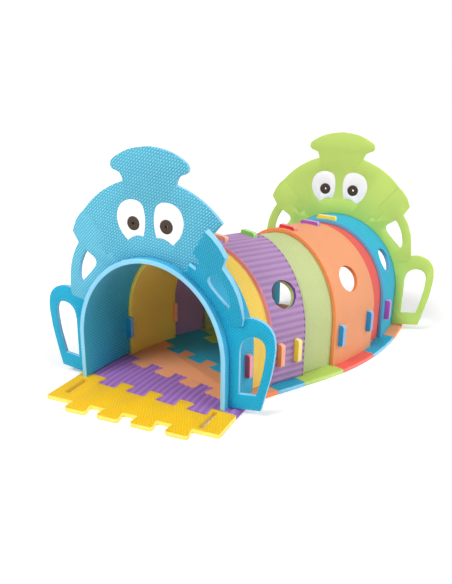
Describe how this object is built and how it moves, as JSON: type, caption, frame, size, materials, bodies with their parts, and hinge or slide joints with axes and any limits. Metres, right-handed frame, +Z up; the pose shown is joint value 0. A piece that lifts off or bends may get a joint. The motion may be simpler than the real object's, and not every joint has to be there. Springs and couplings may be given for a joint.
{
  "type": "play tunnel",
  "caption": "S-shaped crawl tunnel of bent foam arch sheets pegged together on jigsaw floor tiles, with an upright face panel round each mouth and round side windows.",
  "frame": {"origin": "on the ground, under the middle of the front face panel's front side", "axes": "+Z up, +Y from the front mouth towards the rear one, +X to the right seen from the front"},
  "size_m": [1.061, 1.1227, 0.734],
  "materials": {
    "foam_blue": "matte EVA foam",
    "foam_sky": "matte EVA foam",
    "foam_yellow": "matte EVA foam",
    "foam_purple": "matte EVA foam",
    "foam_lime": "matte EVA foam",
    "foam_orange": "matte EVA foam",
    "foam_red": "matte EVA foam",
    "foam_green": "matte EVA foam",
    "foam_white": "matte EVA foam",
    "foam_brown": "matte EVA foam",
    "foam_cyan": "matte EVA foam",
    "foam_rose": "matte EVA foam"
  },
  "bodies": {
    "tunnel": {"doorstep_mat": "foam_yellow", "floor_tile_purple": "foam_purple", "floor_tile_orange": "foam_orange", "floor_tile_blue": "foam_blue", "floor_tile_lime": "foam_lime", "floor_tile_red": "foam_red", "floor_tile_rear_blue": "foam_blue", "floor_tile_rear_orange": "foam_orange", "front_sleeve": "foam_blue", "yellow_arch": "foam_yellow", "purple_arch": "foam_purple", "lime_arch": "foam_lime", "orange_arch": "foam_orange", "red_arch": "foam_red", "rear_sleeve": "foam_blue", "front_head": "foam_blue", "front_left_shoulder": "foam_blue", "front_right_shoulder": "foam_blue", "front_left_hand": "foam_blue", "front_right_hand": "foam_blue", "front_left_eye": "foam_white", "front_left_pupil": "foam_brown", "front_right_eye": "foam_white", "front_right_pupil": "foam_brown", "rear_head": "foam_green", "rear_left_shoulder": "foam_green", "rear_right_shoulder": "foam_green", "rear_left_hand": "foam_green", "rear_right_hand": "foam_green", "rear_left_eye": "foam_white", "rear_left_pupil": "foam_brown", "rear_right_eye": "foam_white", "rear_right_pupil": "foam_brown"},
    "peg_sleeve_yellow_right_body": {"peg_sleeve_yellow_right": "foam_rose"},
    "peg_sleeve_yellow_top_body": {"peg_sleeve_yellow_top": "foam_cyan"},
    "peg_sleeve_yellow_left_body": {"peg_sleeve_yellow_left": "foam_cyan"},
    "peg_yellow_purple_right_body": {"peg_yellow_purple_right": "foam_orange"},
    "peg_yellow_purple_top_body": {"peg_yellow_purple_top": "foam_orange"},
    "peg_yellow_purple_left_body": {"peg_yellow_purple_left": "foam_orange"},
    "peg_purple_lime_right_body": {"peg_purple_lime_right": "foam_yellow"},
    "peg_purple_lime_top_body": {"peg_purple_lime_top": "foam_green"},
    "peg_purple_lime_left_body": {"peg_purple_lime_left": "foam_yellow"},
    "peg_lime_orange_right_body": {"peg_lime_orange_right": "foam_sky"},
    "peg_lime_orange_top_body": {"peg_lime_orange_top": "foam_red"},
    "peg_lime_orange_left_body": {"peg_lime_orange_left": "foam_sky"},
    "peg_orange_red_right_body": {"peg_orange_red_right": "foam_sky"},
    "peg_orange_red_top_body": {"peg_orange_red_top": "foam_purple"},
    "peg_orange_red_left_body": {"peg_orange_red_left": "foam_sky"},
    "peg_red_sleeve_right_body": {"peg_red_sleeve_right": "foam_purple"},
    "peg_red_sleeve_top_body": {"peg_red_sleeve_top": "foam_yellow"},
    "peg_red_sleeve_left_body": {"peg_red_sleeve_left": "foam_purple"}
  },
  "joints": [
    {"name": "peg_sleeve_yellow_right_pull", "type": "slide", "parent": "tunnel", "child": "peg_sleeve_yellow_right_body", "axis": [0.9488, -0.3158, 0], "range_m": [0, 0.045]},
    {"name": "peg_sleeve_yellow_top_pull", "type": "slide", "parent": "tunnel", "child": "peg_sleeve_yellow_top_body", "axis": [0, 0, 1], "range_m": [0, 0.045]},
    {"name": "peg_sleeve_yellow_left_pull", "type": "slide", "parent": "tunnel", "child": "peg_sleeve_yellow_left_body", "axis": [-0.9799, 0.1997, 0], "range_m": [0, 0.045]},
    {"name": "peg_yellow_purple_right_pull", "type": "slide", "parent": "tunnel", "child": "peg_yellow_purple_right_body", "axis": [0.8315, -0.5556, 0], "range_m": [0, 0.045]},
    {"name": "peg_yellow_purple_top_pull", "type": "slide", "parent": "tunnel", "child": "peg_yellow_purple_top_body", "axis": [0, 0, 1], "range_m": [0, 0.045]},
    {"name": "peg_yellow_purple_left_pull", "type": "slide", "parent": "tunnel", "child": "peg_yellow_purple_left_body", "axis": [-0.9023, 0.4312, 0], "range_m": [0, 0.045]},
    {"name": "peg_purple_lime_right_pull", "type": "slide", "parent": "tunnel", "child": "peg_purple_lime_right_body", "axis": [0.849, -0.5284, 0], "range_m": [0, 0.045]},
    {"name": "peg_purple_lime_top_pull", "type": "slide", "parent": "tunnel", "child": "peg_purple_lime_top_body", "axis": [0, 0, 1], "range_m": [0, 0.045]},
    {"name": "peg_purple_lime_left_pull", "type": "slide", "parent": "tunnel", "child": "peg_purple_lime_left_body", "axis": [-0.8507, 0.5257, 0], "range_m": [0, 0.045]},
    {"name": "peg_lime_orange_right_pull", "type": "slide", "parent": "tunnel", "child": "peg_lime_orange_right_body", "axis": [0.9115, -0.4114, 0], "range_m": [0, 0.045]},
    {"name": "peg_lime_orange_top_pull", "type": "slide", "parent": "tunnel", "child": "peg_lime_orange_top_body", "axis": [0, 0, 1], "range_m": [0, 0.045]},
    {"name": "peg_lime_orange_left_pull", "type": "slide", "parent": "tunnel", "child": "peg_lime_orange_left_body", "axis": [-0.8859, 0.4639, 0], "range_m": [0, 0.045]},
    {"name": "peg_orange_red_right_pull", "type": "slide", "parent": "tunnel", "child": "peg_orange_red_right_body", "axis": [0.9622, -0.2724, 0], "range_m": [0, 0.045]},
    {"name": "peg_orange_red_top_pull", "type": "slide", "parent": "tunnel", "child": "peg_orange_red_top_body", "axis": [0, 0, 1], "range_m": [0, 0.045]},
    {"name": "peg_orange_red_left_pull", "type": "slide", "parent": "tunnel", "child": "peg_orange_red_left_body", "axis": [-0.9244, 0.3813, 0], "range_m": [0, 0.045]},
    {"name": "peg_red_sleeve_right_pull", "type": "slide", "parent": "tunnel", "child": "peg_red_sleeve_right_body", "axis": [0.9958, -0.0917, 0], "range_m": [0, 0.045]},
    {"name": "peg_red_sleeve_top_pull", "type": "slide", "parent": "tunnel", "child": "peg_red_sleeve_top_body", "axis": [0, 0, 1], "range_m": [0, 0.045]},
    {"name": "peg_red_sleeve_left_pull", "type": "slide", "parent": "tunnel", "child": "peg_red_sleeve_left_body", "axis": [-0.9666, 0.2563, 0], "range_m": [0, 0.045]}
  ]
}
